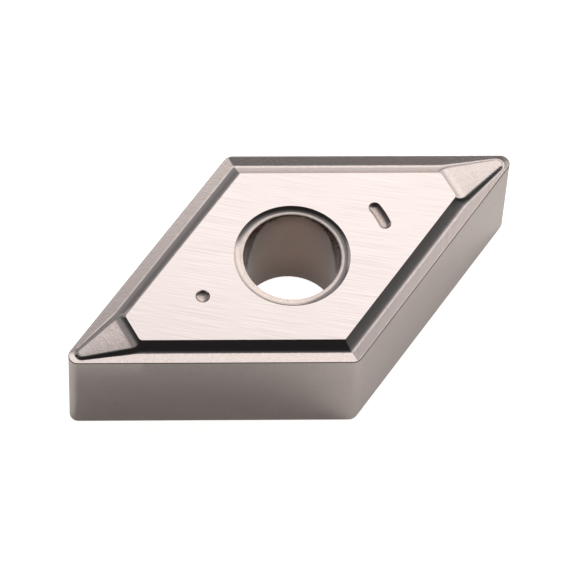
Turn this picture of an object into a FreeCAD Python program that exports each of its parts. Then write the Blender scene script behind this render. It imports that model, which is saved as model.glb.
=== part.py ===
import FreeCAD, Part
import math
import os

# Indexable turning insert: a 55 degree rhombus of sintered carbide with square flanks, both faces
# alike, so that all four acute corners cut. Millimetres. The origin is at the middle of the lower
# seating pad, +Z goes up through the bore and X runs along one pair of cutting edges.
#
# Each face, from the cutting edge inwards: a honed edge, a rake land that falls to a groove, a
# concave back wall, and a flat ground seating pad that stands proud of the edge. At the two acute
# corners the groove runs in towards the nose round a low three-sided step, and the pad is cut off
# square to the long diagonal behind it.

# outline
CORNER_ANGLE = 55.0          # included angle of the cutting corners, degrees
INSCRIBED_CIRCLE = 12.70     # diameter of the circle that touches all four flanks
THICKNESS = 6.35             # from a cutting corner to the seating pad of the other face
NOSE_RADIUS = 0.45           # the acute, cutting corners
HEEL_RADIUS = 0.55           # the obtuse corners
HONE = 0.04                  # rounding of the cutting edge

# chip former along the straight edges
RAKE_WIDTH = 0.61            # cutting edge to groove
RAKE_ANGLE = 6.0             # fall of the rake land, degrees
GROOVE_BLEND = 0.12          # length of the rounding on each side of the groove's bottom
PAD_INSET = 1.23             # cutting edge to the border of the pad
PAD_RISE = 0.25              # pad above the cutting edge
WALL_HOLLOW = 0.062          # how far the back wall's control line lies below its chord

# chip former at the acute corners, along the long diagonal
NOSE_RAKE = 0.38             # nose to the groove that runs round the step
NOSE_GROOVE_RADIUS = 0.366   # plan radius of that groove
NOSE_BLEND = 0.05            # its rounding there, and that of the step's border
TAPER_REACH = 4.02           # sharp corner to where the groove starts to run in, along the edge
TAPER_BLEND = 0.34           # half length of the bend there
NOSE_WALL = 0.11             # groove to the border of the step, at the nose
STEP_TIP_RADIUS = 0.265      # plan radius of the step's tip
STEP_REAR = 3.79             # sharp corner to the rear border of the step
STEP_HALF_WIDTH = 1.00       # at that border
STEP_TIP_RISE = 0.05         # step above the cutting edge, at its tip
STEP_REAR_RISE = 0.11        # and at its rear border
STEP_ROUNDING = 0.08         # rounding of the step's border
RAMP_FOOT = 0.38             # length of the ramp's flat foot, behind the step
PAD_NOSE = 4.29              # sharp corner to the cut-off end of the pad
PAD_CORNER_BLEND = 0.13      # rounding of the two corners there

# clamping bore
BORE_DIAMETER = 5.16
RING_DIAMETER = 6.14         # hollow ring round the mouth of the bore
RING_DEPTH = 0.13            # below the pad, at the lip
RING_FLOOR = 0.10            # width of its flat floor round the lip
LIP_RADIUS = 0.06            # rounding of the lip into the bore

# index marks in the pads, one on each side of the bore, on the long diagonal
MARK_DEPTH = 0.13
DOT_DIAMETER = 0.76
DOT_FLOOR_DIAMETER = 0.42
DOT_RADIUS = 5.33            # distance from the bore's axis
SLOT_WIDTH = 0.67
SLOT_FLOOR_WIDTH = 0.33
SLOT_RADIUS = 5.37           # its centre line runs round the bore
SLOT_SPAN = 12.8             # between the middles of its two ends, degrees

# derived sizes
HALF = math.radians(CORNER_ANGLE / 2)
EDGE_LENGTH = INSCRIBED_CIRCLE / math.sin(2 * HALF)
HALF_DIAGONAL = EDGE_LENGTH * math.cos(HALF)
HEEL_REACH = EDGE_LENGTH * math.sin(HALF)
HEIGHT = THICKNESS + PAD_RISE
EDGE_Z = THICKNESS
RAKE_FALL = math.tan(math.radians(RAKE_ANGLE))
NOSE_TIP = NOSE_RADIUS / math.sin(HALF) - NOSE_RADIUS

# One quarter of a face is drawn in the plan of its own acute corner: t runs from the sharp corner
# along the long diagonal, q runs square to it towards the flank, z is measured from the cutting
# edge. A station is (t, q, z, weight). The quarter has five spans, from the nose to the heel.
NOSE, TAPER, BEND, STRAIGHT, HEEL = range(5)


def on_edge(s, w):
    """Plan point s along the edge from the sharp corner and w inside it."""
    return (s * math.cos(HALF) + w * math.sin(HALF), s * math.sin(HALF) - w * math.cos(HALF))


def inside(t, q):
    """Distance of a plan point from the straight edge."""
    return t * math.sin(HALF) - q * math.cos(HALF)


def along(t, q):
    """Distance of a plan point from the sharp corner, along the edge."""
    return t * math.cos(HALF) + q * math.sin(HALF)


def unit(a, b):
    """Unit vector from a to b, of any dimension."""
    d = [q - p for p, q in zip(a, b)]
    n = math.sqrt(sum(k * k for k in d))
    return [k / n for k in d]


def moved(a, b, distance):
    """The station a, moved by a distance towards b, with its own weight."""
    d = unit(a[:3], b[:3])
    return tuple(p + distance * k for p, k in zip(a[:3], d)) + (a[3],)


def between(a, b, share, drop=0.0):
    """A station between a and b, let down by a drop."""
    mix = [p + share * (q - p) for p, q in zip(a, b)]
    return (mix[0], mix[1], mix[2] - drop, mix[3])


class Taper:
    """A line that leaves a tip arc on the long diagonal tangentially and runs to a far point."""

    def __init__(self, tip, radius, far):
        self.centre = tip + radius
        self.radius = radius
        dt, dq = far[0] - self.centre, far[1]
        reach = math.hypot(dt, dq)
        self.angle = math.atan2(dq, dt) - math.asin(radius / reach)

    def point(self, t, offset):
        """Plan point of the line, set outwards by an offset, at a given t."""
        r = self.radius + offset
        rise = r / math.cos(self.angle)
        return (t, (t - self.centre) * math.tan(self.angle) + rise)

    def arc(self, offset):
        """Tip, control and tangent points of the tip arc, in plan, and the control's weight."""
        r = self.radius + offset
        tip = self.centre - r
        tangent_t = self.centre - r * math.sin(self.angle)
        control = self.point(tip, offset)
        weight = math.cos((math.pi / 2 - self.angle) / 2)
        return (tip, 0.0), control, (tangent_t, r * math.cos(self.angle)), weight

    def at_inset(self, w, offset):
        """Plan point where the offset line lies w inside the straight edge."""
        slope = math.tan(self.angle)
        t0, q0 = self.point(self.centre, offset)
        t = (w + (q0 - slope * t0) * math.cos(HALF)) / (math.sin(HALF) - slope * math.cos(HALF))
        return self.point(t, offset)


def heel_s(w):
    """Where a line w inside the edge meets the short diagonal."""
    return (HALF_DIAGONAL - w * math.sin(HALF)) / math.cos(HALF)


def rake_z(distance):
    """Height of the rake land at a distance inside the cutting edge."""
    return -RAKE_FALL * distance


GROOVE_TIP = NOSE_TIP + NOSE_RAKE
GROOVE = Taper(GROOVE_TIP, NOSE_GROOVE_RADIUS, on_edge(TAPER_REACH, RAKE_WIDTH))
STEP = Taper(GROOVE_TIP + NOSE_WALL, STEP_TIP_RADIUS, (STEP_REAR, STEP_HALF_WIDTH))
HEEL_TANGENT = HEEL_RADIUS * math.tan(HALF)
BEND_FROM = TAPER_REACH - TAPER_BLEND
BEND_TO = TAPER_REACH + TAPER_BLEND


def line_spans(w, z, start):
    """Stations from a start to the heel, on a line w inside the edge: the last two spans."""
    end_s = heel_s(w)
    turn = math.cos(HALF / 2)
    b = on_edge(end_s - HEEL_TANGENT, w) + (z, 1.0)
    mid = on_edge(end_s - HEEL_TANGENT / 2, w) + (z, turn)
    return {STRAIGHT: [start, b], HEEL: [b, mid, on_edge(end_s, w) + (z, 1.0)]}


def rim_row(inset, drop):
    """The cutting edge set inwards, or let down by a drop: arcs at the nose and at the heel."""
    nose_s = NOSE_RADIUS / math.tan(HALF)
    level = rake_z(inset) - drop
    tip_t = NOSE_TIP + inset
    nose_end = on_edge(nose_s, inset) + (level, 1.0)
    control_q = (tip_t - inset / math.sin(HALF)) * math.tan(HALF)
    nose_turn = math.cos((math.pi / 2 - HALF) / 2)
    a = on_edge(BEND_FROM, inset) + (level, 1.0)
    m = on_edge(TAPER_REACH, inset) + (level, 1.0)
    b = on_edge(BEND_TO, inset) + (level, 1.0)
    c = on_edge(EDGE_LENGTH - HEEL_TANGENT, inset) + (level, 1.0)
    heel_top = HEEL_REACH - HEEL_RADIUS / math.cos(HALF) + HEEL_RADIUS - inset
    heel_t = (heel_top + inset / math.cos(HALF)) / math.tan(HALF)
    mid, end = (heel_t, heel_top), (HALF_DIAGONAL, heel_top)
    return {
        NOSE: [(tip_t, 0.0, level, 1.0), (tip_t, control_q, level, nose_turn), nose_end],
        TAPER: [nose_end, a],
        BEND: [a, m, b],
        STRAIGHT: [b, c],
        HEEL: [c, mid + (level, math.cos(HALF / 2)), end + (rake_z(inside(*end)) - drop, 1.0)],
    }


def groove_row(offset, nose_offset):
    """The groove's bottom line, or the line on the rake land outside it, offset less at the nose."""
    width = RAKE_WIDTH - offset
    tip, control, tangent, turn = GROOVE.arc(nose_offset)
    tip_z = rake_z(tip[0] - NOSE_TIP)
    tangent_z = rake_z(inside(*tangent))
    bend = GROOVE.at_inset(width, offset)
    bend_s = along(*bend)
    t_from = on_edge(BEND_FROM, GROOVE_WIDTH_AT_BEND)[0]
    a = GROOVE.point(t_from, offset)
    a = a + (rake_z(inside(*a)), 1.0)
    z = rake_z(width)
    b = on_edge(bend_s + TAPER_BLEND, width) + (z, 1.0)
    nose_end = tangent + (tangent_z, 1.0)
    row = {
        NOSE: [tip + (tip_z, 1.0), control + ((tip_z + tangent_z) / 2, turn), nose_end],
        TAPER: [nose_end, a],
        BEND: [a, bend + (z, 1.0), b],
    }
    row.update(line_spans(width, z, b))
    return row


GROOVE_WIDTH_AT_BEND = RAKE_WIDTH - TAPER_BLEND * math.tan(HALF - GROOVE.angle)


def step_z(t):
    """Height of the step's flat top over the long diagonal."""
    tip = GROOVE_TIP + NOSE_WALL
    share = (t - tip) / (STEP_REAR - tip)
    return STEP_TIP_RISE + share * (STEP_REAR_RISE - STEP_TIP_RISE)


def pad_corner():
    """Plan point of the pad's corner where its cut-off end meets its border."""
    q = (PAD_NOSE * math.sin(HALF) - PAD_INSET) / math.cos(HALF)
    return (PAD_NOSE, q)


def step_row(offset):
    """The step's border, set inwards by an offset, and the ridge from it up to the pad's end."""
    tip, control, tangent, turn = STEP.arc(-offset)
    rear = STEP.point(STEP_REAR, -offset)
    foot = STEP.point(STEP_REAR + RAMP_FOOT, -offset)
    corner = pad_corner()
    if offset > 0:
        corner = (corner[0], corner[1] - PAD_CORNER_BLEND)
    nose_end = tangent + (step_z(tangent[0]), 1.0)
    rear_station = rear + (step_z(rear[0]), 1.0)
    return {
        NOSE: [tip + (step_z(tip[0]), 1.0), control + (step_z(control[0]), turn), nose_end],
        TAPER: [nose_end, rear_station],
        BEND: [rear_station, foot + (step_z(foot[0]), 1.0), corner + (PAD_RISE, 1.0)],
    }


def pad_row():
    """The pad's border along the straight edge, from the rounded corner of its cut-off end."""
    s = along(*pad_corner()) + PAD_CORNER_BLEND
    return line_spans(PAD_INSET, PAD_RISE, on_edge(s, PAD_INSET) + (PAD_RISE, 1.0))


def blends(span, full):
    """Length of a rounding at each station of a span: short at the nose, full past the taper."""
    return {NOSE: [NOSE_BLEND] * 3, TAPER: [NOSE_BLEND, full]}.get(span, [full] * 3)


def wall_rows():
    """Foot, control and head of the back wall, span by span."""
    groove, step, pad = groove_row(0.0, 0.0), step_row(0.0), pad_row()
    foot, control, head = {}, {}, {}
    for span in range(5):
        top = step[span] if span < STRAIGHT else pad[span]
        if span == BEND:
            top = top[:2] + [pad[STRAIGHT][0]]
        hollow = [WALL_HOLLOW if span >= STRAIGHT else 0.0] * len(top)
        if span == BEND:
            hollow = [0.0, WALL_HOLLOW / 2, WALL_HOLLOW]
        control[span] = [between(g, p, 0.55, h) for g, p, h in zip(groove[span], top, hollow)]
        foot[span] = [moved(g, c, b) for g, c, b
                      in zip(groove[span], control[span], blends(span, GROOVE_BLEND))]
        head[span] = top
        if span < STRAIGHT:
            head[span] = [moved(p, c, b) for p, c, b
                          in zip(top, control[span], blends(span, STEP_ROUNDING))]
        if span == BEND:
            head[span][2] = pad[STRAIGHT][0]
    return foot, control, head


def to_world(station):
    """Plan station to a point of the upper face."""
    t, q, z = station[:3]
    x = t * math.cos(HALF) + q * math.sin(HALF)
    y = t * math.sin(HALF) - q * math.cos(HALF)
    origin_x = -HALF_DIAGONAL * math.cos(HALF)
    origin_y = -HALF_DIAGONAL * math.sin(HALF)
    return FreeCAD.Vector(origin_x + x, origin_y + y, EDGE_Z + z)


def patch(rows, across=None):
    """One surface patch: each row is a Bezier curve along the edge, rows follow one another."""
    across = across or [1.0] * len(rows)
    poles = [[to_world(s) for s in row] for row in rows]
    weights = [[s[3] * a for s in row] for row, a in zip(rows, across)]
    nu, nv = len(rows), len(rows[0])
    surface = Part.BSplineSurface()
    surface.buildFromPolesMultsKnots(
        poles, [nu, nu], [nv, nv], [0.0, 1.0], [0.0, 1.0], False, False, nu - 1, nv - 1, weights)
    return surface.toShape()


def curve(stations, weights=None):
    """Bezier edge through the same stations that bound a patch."""
    poles = [to_world(s) for s in stations]
    if len(poles) == 2:
        return Part.LineSegment(poles[0], poles[1]).toShape()
    weights = weights or [s[3] for s in stations]
    c = Part.BSplineCurve()
    c.buildFromPolesMultsKnots(poles, [3, 3], [0.0, 1.0], False, 2, weights)
    return c.toShape()


def strip(rows, spans, across=None):
    """The patches between rows, for the named spans."""
    return [patch([row[span] for row in rows], across) for span in spans]


LONG_DIAGONAL_NORMAL = FreeCAD.Vector(math.sin(HALF), -math.cos(HALF), 0)
SHORT_DIAGONAL_NORMAL = FreeCAD.Vector(math.cos(HALF), math.sin(HALF), 0)
CENTRE = FreeCAD.Vector(0, 0, 0)
MIDDLE = FreeCAD.Vector(0, 0, HEIGHT / 2)


def mirrored(shapes, base, normal):
    """The shapes together with their mirror images."""
    return shapes + [s.mirror(base, normal) for s in shapes]


def all_quarters(shapes):
    """Copies of one quarter's shapes in all four quarters."""
    both = mirrored(shapes, CENTRE, LONG_DIAGONAL_NORMAL)
    return mirrored(both, CENTRE, SHORT_DIAGONAL_NORMAL)


def relief_faces():
    """Hone, rake land, groove, back wall and step rounding of one face, all four quarters."""
    flank, edge, land = rim_row(0.0, HONE), rim_row(0.0, 0.0), rim_row(HONE, 0.0)
    groove, shore = groove_row(0.0, 0.0), groove_row(GROOVE_BLEND, NOSE_BLEND)
    foot, control, head = wall_rows()
    step, step_top = step_row(0.0), step_row(STEP_ROUNDING)
    hone_turn = math.cos(math.radians(90 - RAKE_ANGLE) / 2)
    corner_turn = math.cos((math.pi / 2 - HALF) / 2)
    every = range(5)
    quarter = strip([flank, edge, land], every, [1.0, hone_turn, 1.0])
    quarter += strip([land, shore], every)
    quarter += strip([shore, groove, foot], every)
    quarter += strip([foot, control, head], every)
    quarter += strip([head, step, step_top], (NOSE, TAPER, BEND), [1.0, corner_turn, 1.0])
    return all_quarters(quarter)


def flipped(station):
    """The station's mirror image across the long diagonal."""
    return (station[0], -station[1], station[2], station[3])


def step_faces():
    """The flat top of the step and the hollow ramp behind it, at both acute corners."""
    top = step_row(STEP_ROUNDING)
    side = [curve(top[NOSE]), curve(top[TAPER])]
    rear = top[TAPER][1]
    edges = mirrored(side, CENTRE, LONG_DIAGONAL_NORMAL) + [curve([rear, flipped(rear)])]
    flat = Part.Face(Part.Wire(Part.__sortEdges__(edges)))
    ramp = patch([[s, flipped(s)] for s in top[BEND]])
    return mirrored([flat, ramp], CENTRE, SHORT_DIAGONAL_NORMAL)


def pad_face():
    """The seating pad: a rhombus with its acute corners cut off."""
    pad = pad_row()
    corner = step_row(STEP_ROUNDING)[BEND][2]
    sharp = pad_corner() + (PAD_RISE, 1.0)
    turn = math.cos((math.pi / 2 - HALF) / 2)
    blend = curve([pad[STRAIGHT][0], sharp, corner], [1.0, turn, 1.0])
    quarter = [curve(pad[STRAIGHT]), curve([pad[HEEL][0], pad[HEEL][2]]), blend]
    half = mirrored(quarter, CENTRE, LONG_DIAGONAL_NORMAL) + [curve([corner, flipped(corner)])]
    edges = mirrored(half, CENTRE, SHORT_DIAGONAL_NORMAL)
    return Part.Face(Part.Wire(Part.__sortEdges__(edges)))


def turned_down(stations):
    """The stations' mirror images on the lower face."""
    return [(t, q, HEIGHT - 2 * EDGE_Z - z, k) for t, q, z, k in stations]


def flank_faces():
    """The four flat flanks, square to the pads, and the rounded corners between them."""
    top = rim_row(0.0, HONE)
    low = {span: turned_down(stations) for span, stations in top.items()}
    rounded = [patch([top[span], low[span]]) for span in (NOSE, HEEL)]
    straight = (TAPER, BEND, STRAIGHT)
    edges = [curve(row[span]) for row in (top, low) for span in straight]
    edges.append(curve([top[TAPER][0], low[TAPER][0]]))
    edges.append(curve([top[STRAIGHT][1], low[STRAIGHT][1]]))
    flat = Part.Face(Part.Wire(Part.__sortEdges__(edges)))
    return all_quarters(rounded + [flat])


def blank():
    """The closed body with both chip formers, before the bore and the marks."""
    face = relief_faces() + step_faces() + [pad_face()]
    both = mirrored(face, MIDDLE, FreeCAD.Vector(0, 0, 1))
    shell = Part.makeCompound(both + flank_faces())
    shell.sewShape(1e-5)
    solid = Part.Solid(shell.Shells[0] if shell.Shells else shell)
    if solid.Volume < 0:
        solid.reverse()
    return solid


def bore_tool():
    """The bore, its rounded lips and the hollow ring round each mouth, as one turned profile."""
    r = BORE_DIAMETER / 2
    lip = r + LIP_RADIUS
    ring = RING_DIAMETER / 2
    depth_z = HEIGHT - RING_DEPTH
    lip_z = depth_z - LIP_RADIUS
    floor = lip + RING_FLOOR
    width = ring - floor
    hollow = (width ** 2 + RING_DEPTH ** 2) / (2 * RING_DEPTH)
    half_turn = math.asin(width / hollow) / 2
    mid = (floor + hollow * math.sin(half_turn), depth_z + hollow * (1 - math.cos(half_turn)))
    corner = math.sqrt(0.5) * LIP_RADIUS

    def at(x, z):
        return FreeCAD.Vector(x, 0, z)

    def half(z_of):
        return [
            Part.LineSegment(at(r, HEIGHT / 2), at(r, z_of(lip_z))).toShape(),
            Part.Arc(at(r, z_of(lip_z)), at(lip - corner, z_of(lip_z + corner)),
                     at(lip, z_of(depth_z))).toShape(),
            Part.LineSegment(at(lip, z_of(depth_z)), at(floor, z_of(depth_z))).toShape(),
            Part.Arc(at(floor, z_of(depth_z)), at(mid[0], z_of(mid[1])),
                     at(ring, z_of(HEIGHT))).toShape(),
            Part.LineSegment(at(ring, z_of(HEIGHT)), at(ring, z_of(HEIGHT + 1))).toShape(),
            Part.LineSegment(at(ring, z_of(HEIGHT + 1)), at(0, z_of(HEIGHT + 1))).toShape(),
        ]

    edges = half(lambda z: z) + half(lambda z: HEIGHT - z)
    edges.append(Part.LineSegment(at(0, HEIGHT + 1), at(0, -1)).toShape())
    profile = Part.Face(Part.Wire(Part.__sortEdges__(edges)))
    return profile.revolve(CENTRE, FreeCAD.Vector(0, 0, 1), 360)


def mark_profile(width, floor, x, one_sided):
    """Tapered section of a pressed mark, in the XZ plane, its mouth on the upper pad."""
    over = 0.5
    slope = (width - floor) / 2 / MARK_DEPTH
    mouth = width / 2 + slope * over
    left = -mouth if not one_sided else 0.0
    left_floor = -floor / 2 if not one_sided else 0.0
    top, low = HEIGHT + over, HEIGHT - MARK_DEPTH
    corners = [(left, top), (left_floor, low), (floor / 2, low), (mouth, top), (left, top)]
    return Part.Face(Part.makePolygon([FreeCAD.Vector(x + a, 0, z) for a, z in corners]))


def round_mark(width, floor, radius, angle):
    """A round mark at a distance from the bore's axis."""
    axis = FreeCAD.Vector(radius, 0, 0)
    shape = mark_profile(width, floor, radius, True).revolve(axis, FreeCAD.Vector(0, 0, 1), 360)
    shape.rotate(CENTRE, FreeCAD.Vector(0, 0, 1), angle)
    return shape


def slot_mark():
    """A round-ended mark that follows a circle about the bore."""
    body = mark_profile(SLOT_WIDTH, SLOT_FLOOR_WIDTH, SLOT_RADIUS, False)
    body = body.revolve(CENTRE, FreeCAD.Vector(0, 0, 1), SLOT_SPAN)
    first = (CORNER_ANGLE - SLOT_SPAN) / 2
    body.rotate(CENTRE, FreeCAD.Vector(0, 0, 1), first)
    angles = (first, first + SLOT_SPAN)
    ends = [round_mark(SLOT_WIDTH, SLOT_FLOOR_WIDTH, SLOT_RADIUS, a) for a in angles]
    return [body] + ends


def mark_tools():
    """The marks of the upper pad, and the same marks of the face that is turned down."""
    dot_angle = 180 + CORNER_ANGLE / 2
    upper = [round_mark(DOT_DIAMETER, DOT_FLOOR_DIAMETER, DOT_RADIUS, dot_angle)] + slot_mark()
    lower = []
    for tool in upper:
        turned = tool.copy()
        turned.rotate(MIDDLE, SHORT_DIAGONAL_NORMAL, 180)
        lower.append(turned)
    return upper + lower


def insert():
    """The finished insert."""
    body = blank().cut(bore_tool())
    return body.cut(mark_tools())


os.makedirs("parts", exist_ok=True)
result = insert()
solids = result.Solids
print("solids", len(solids), "valid", result.isValid(), "faces", len(result.Faces))
box = result.BoundBox
print("box %.3f x %.3f x %.3f mm, z from %.3f" % (box.XLength, box.YLength, box.ZLength, box.ZMin))
print("volume %.2f mm3" % result.Volume)
solids[0].exportStep("parts/carbide_insert.step")
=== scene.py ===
"""Studio picture of one indexable carbide insert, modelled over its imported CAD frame.

The insert is modelled in the plan of its long diagonal: X runs from the left cutting corner to the
right one and Z points up through the bore, in millimetres. Its last moves turn it onto the CAD's
axes and bring it to metres.
"""
import logging
import math
from collections.abc import Callable, Iterable
from dataclasses import dataclass, field
from enum import Enum, IntEnum

import bmesh
import bpy
from mathutils import Matrix, Vector


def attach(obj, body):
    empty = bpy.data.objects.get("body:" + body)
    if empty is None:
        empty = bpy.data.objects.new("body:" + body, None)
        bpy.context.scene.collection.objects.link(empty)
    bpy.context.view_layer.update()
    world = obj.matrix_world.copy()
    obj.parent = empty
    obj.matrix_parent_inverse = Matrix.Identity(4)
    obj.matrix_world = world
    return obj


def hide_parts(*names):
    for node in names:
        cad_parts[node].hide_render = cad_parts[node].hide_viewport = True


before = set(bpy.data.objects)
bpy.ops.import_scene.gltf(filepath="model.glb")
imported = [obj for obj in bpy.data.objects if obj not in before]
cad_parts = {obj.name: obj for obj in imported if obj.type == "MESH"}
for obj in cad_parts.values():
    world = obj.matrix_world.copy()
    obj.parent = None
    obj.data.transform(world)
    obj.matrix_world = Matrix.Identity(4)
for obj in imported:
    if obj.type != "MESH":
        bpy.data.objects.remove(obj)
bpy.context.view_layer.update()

log = logging.getLogger("insert")

NODE = "carbide_insert"
BODY = "root"
MILLIMETRE = 0.001

Station = tuple[float, float, float, float]
Row = dict["Span", list[Station]]


class Span(IntEnum):
    """Stretches of a contour line, from a cutting corner to the blunt corner beside it."""

    NOSE = 0
    TAPER = 1
    BEND = 2
    STRAIGHT = 3
    HEEL = 4


class Surface(IntEnum):
    """Finished surfaces of the insert, in the order of its material slots."""

    PAD = 0
    FORMER = 1
    EDGE = 2
    FLANK = 3
    BORE = 4
    MARK = 5
    RING = 6


class Ease(Enum):
    """How a map range node goes from one end to the other."""

    LINEAR = "LINEAR"
    SMOOTH = "SMOOTHSTEP"


def linear(hex_colour: str) -> tuple[float, float, float, float]:
    """Turns an sRGB hex colour to linear light.

    Args:
        hex_colour: the colour as "#rrggbb".

    Returns:
        Red, green, blue and an alpha of one.
    """
    parts = [int(hex_colour[i:i + 2], 16) / 255 for i in (1, 3, 5)]
    red, green, blue = (p / 12.92 if p <= 0.04045 else ((p + 0.055) / 1.055) ** 2.4 for p in parts)
    return red, green, blue, 1.0


def add_node(tree: bpy.types.NodeTree, kind: str, settings: dict[str, object] | None = None,
             links: dict[str | int, bpy.types.NodeSocket] | None = None) -> bpy.types.Node:
    """Adds a node with its settings and links.

    Args:
        tree: the node tree that gets it.
        kind: the node's type name, without the leading ShaderNode.
        settings: attributes by name, and input values by the input's name in brackets.
        links: output sockets by the name or number of the input that they feed.

    Returns:
        The new node.
    """
    node = tree.nodes.new("ShaderNode" + kind)
    for name, value in (settings or {}).items():
        if name.startswith("["):
            key = name[1:-1]
            node.inputs[int(key) if key.isdigit() else key].default_value = value
        else:
            setattr(node, name, value)
    for key, socket in (links or {}).items():
        tree.links.new(socket, node.inputs[key])
    return node


def new_material(name: str) -> tuple[bpy.types.Material, bpy.types.NodeTree]:
    """Makes an empty node material.

    Args:
        name: what the real material is and how its surface was made.

    Returns:
        The material and its cleared node tree.
    """
    material = bpy.data.materials.new(name)
    material.use_nodes = True
    material.node_tree.nodes.clear()
    return material, material.node_tree


def end_as_metal(tree: bpy.types.NodeTree, share: bpy.types.NodeSocket, tones: tuple[str, str],
                 roughness: tuple[float, float], height: bpy.types.NodeSocket, relief: float,
                 depth: float) -> None:
    """Ends a material as a metal whose colour and roughness follow a pattern.

    Args:
        tree: the material's node tree.
        share: the pattern, from 0 to 1.
        tones: the colours at 0 and at 1, as "#rrggbb".
        roughness: the roughness at 0 and at 1.
        height: the height of the surface's relief, from 0 to 1.
        relief: how strongly the relief shows.
        depth: the relief's depth in millimetres.
    """
    colour = add_node(tree, "Mix", {"data_type": "RGBA", "[6]": linear(tones[0]),
                                    "[7]": linear(tones[1])}, {0: share})
    rough = add_node(tree, "MapRange", {"[To Min]": roughness[0], "[To Max]": roughness[1]},
                     {"Value": share})
    bump = add_node(tree, "Bump", {"[Strength]": relief, "[Distance]": depth * MILLIMETRE},
                    {"Height": height})
    shader = add_node(tree, "BsdfPrincipled", {"[Metallic]": 1.0},
                      {"Base Color": colour.outputs[2], "Roughness": rough.outputs[0],
                       "Normal": bump.outputs[0]})
    add_node(tree, "OutputMaterial", links={"Surface": shader.outputs[0]})


# ---------------------------------------------------------------- finishes


@dataclass(frozen=True)
class GroundPad:
    """Coated carbide whose seating face was ground flat after coating.

    Grinding takes the coating's haze off and leaves the brightest metal of the insert, pinkish and
    almost white, with long shallow scratches in wide arcs, as a cup wheel leaves them.
    """

    name: str = "cemented carbide, seating face ground with a cup wheel"
    colour: str = "#f3e9e7"
    scratch_colour: str = "#e9dedb"
    roughness: float = 0.11
    scratch_roughness: float = 0.16
    # real scratches are 2 to 5 micrometres apart; drawn every 0.035 mm so that they show
    scratch_spacing: float = 0.035
    scratch_length: float = 4.0
    scratch_depth: float = 0.00013
    scratch_heading: float = -10.4
    wheel_radius: float = 300.0
    # the stretch of the noise from the bottom of a scratch to the bare land
    noise_span: tuple[float, float] = (0.34, 0.62)
    relief: float = 0.6

    def build(self) -> bpy.types.Material:
        """Builds the material.

        Returns:
            The new material.
        """
        material, tree = new_material(self.name)
        side = math.radians(self.scratch_heading + 90)
        centre = (self.wheel_radius * MILLIMETRE * math.cos(side),
                  self.wheel_radius * MILLIMETRE * math.sin(side), 0.0)
        place = add_node(tree, "TexCoord")
        arm = add_node(tree, "VectorMath", {"operation": "SUBTRACT", "[1]": centre},
                       {0: place.outputs["Object"]})
        reach = add_node(tree, "VectorMath", {"operation": "LENGTH"}, {0: arm.outputs[0]})
        parts = add_node(tree, "SeparateXYZ", links={0: arm.outputs[0]})
        turn = add_node(tree, "Math", {"operation": "ARCTAN2"},
                        {0: parts.outputs["Y"], 1: parts.outputs["X"]})
        across = add_node(tree, "Math", {"operation": "MULTIPLY",
                                         "[1]": 1 / (self.scratch_spacing * MILLIMETRE)},
                          {0: reach.outputs["Value"]})
        along = add_node(tree, "Math", {"operation": "MULTIPLY",
                                        "[1]": self.wheel_radius / self.scratch_length},
                         {0: turn.outputs[0]})
        run = add_node(tree, "CombineXYZ", links={"X": across.outputs[0], "Y": along.outputs[0]})
        scratch = add_node(tree, "TexNoise", {"[Scale]": 1.0, "[Detail]": 3.0, "[Roughness]": 0.65},
                           {"Vector": run.outputs[0]})
        depth = add_node(tree, "MapRange", {"[From Min]": self.noise_span[0],
                                            "[From Max]": self.noise_span[1]},
                         {"Value": scratch.outputs["Fac"]})
        end_as_metal(tree, depth.outputs[0], (self.scratch_colour, self.colour),
                     (self.scratch_roughness, self.roughness), depth.outputs[0], self.relief,
                     self.scratch_depth)
        return material


@dataclass(frozen=True)
class CoatedCarbide:
    """Vapour-coated carbide, with the grain of its surface standing in the coating.

    The coating is a warm grey that mirrors softly. Its crystals make a fine sparkle where the
    surface was pressed and sintered, and less of it where the carbide was ground before coating.
    """

    name: str
    colour: str
    grain_colour: str
    roughness: float
    grain_roughness: float
    # real crystals are 2 to 10 micrometres across; drawn as grains of this many millimetres
    grain: float
    grain_depth: float
    # wide patches on top of the grain: their size in millimetres and their share
    cloud: float = 1.6
    cloud_share: float = 0.35
    noise_span: tuple[float, float] = (0.45, 0.90)
    relief: float = 0.8

    def build(self) -> bpy.types.Material:
        """Builds the material.

        Returns:
            The new material.
        """
        material, tree = new_material(self.name)
        place = add_node(tree, "TexCoord")
        grain = add_node(tree, "TexNoise", {"[Scale]": 1 / (self.grain * MILLIMETRE),
                                            "[Detail]": 2.0, "[Roughness]": 0.6},
                         {"Vector": place.outputs["Object"]})
        cloud = add_node(tree, "TexNoise", {"[Scale]": 1 / (self.cloud * MILLIMETRE),
                                            "[Detail]": 3.0},
                         {"Vector": place.outputs["Object"]})
        both = add_node(tree, "Math", {"operation": "MULTIPLY_ADD", "[1]": self.cloud_share},
                        {0: cloud.outputs["Fac"], 2: grain.outputs["Fac"]})
        share = add_node(tree, "MapRange", {"[From Min]": self.noise_span[0],
                                            "[From Max]": self.noise_span[1]},
                         {"Value": both.outputs[0]})
        end_as_metal(tree, share.outputs[0], (self.grain_colour, self.colour),
                     (self.grain_roughness, self.roughness), grain.outputs["Fac"], self.relief,
                     self.grain_depth)
        return material


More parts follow.
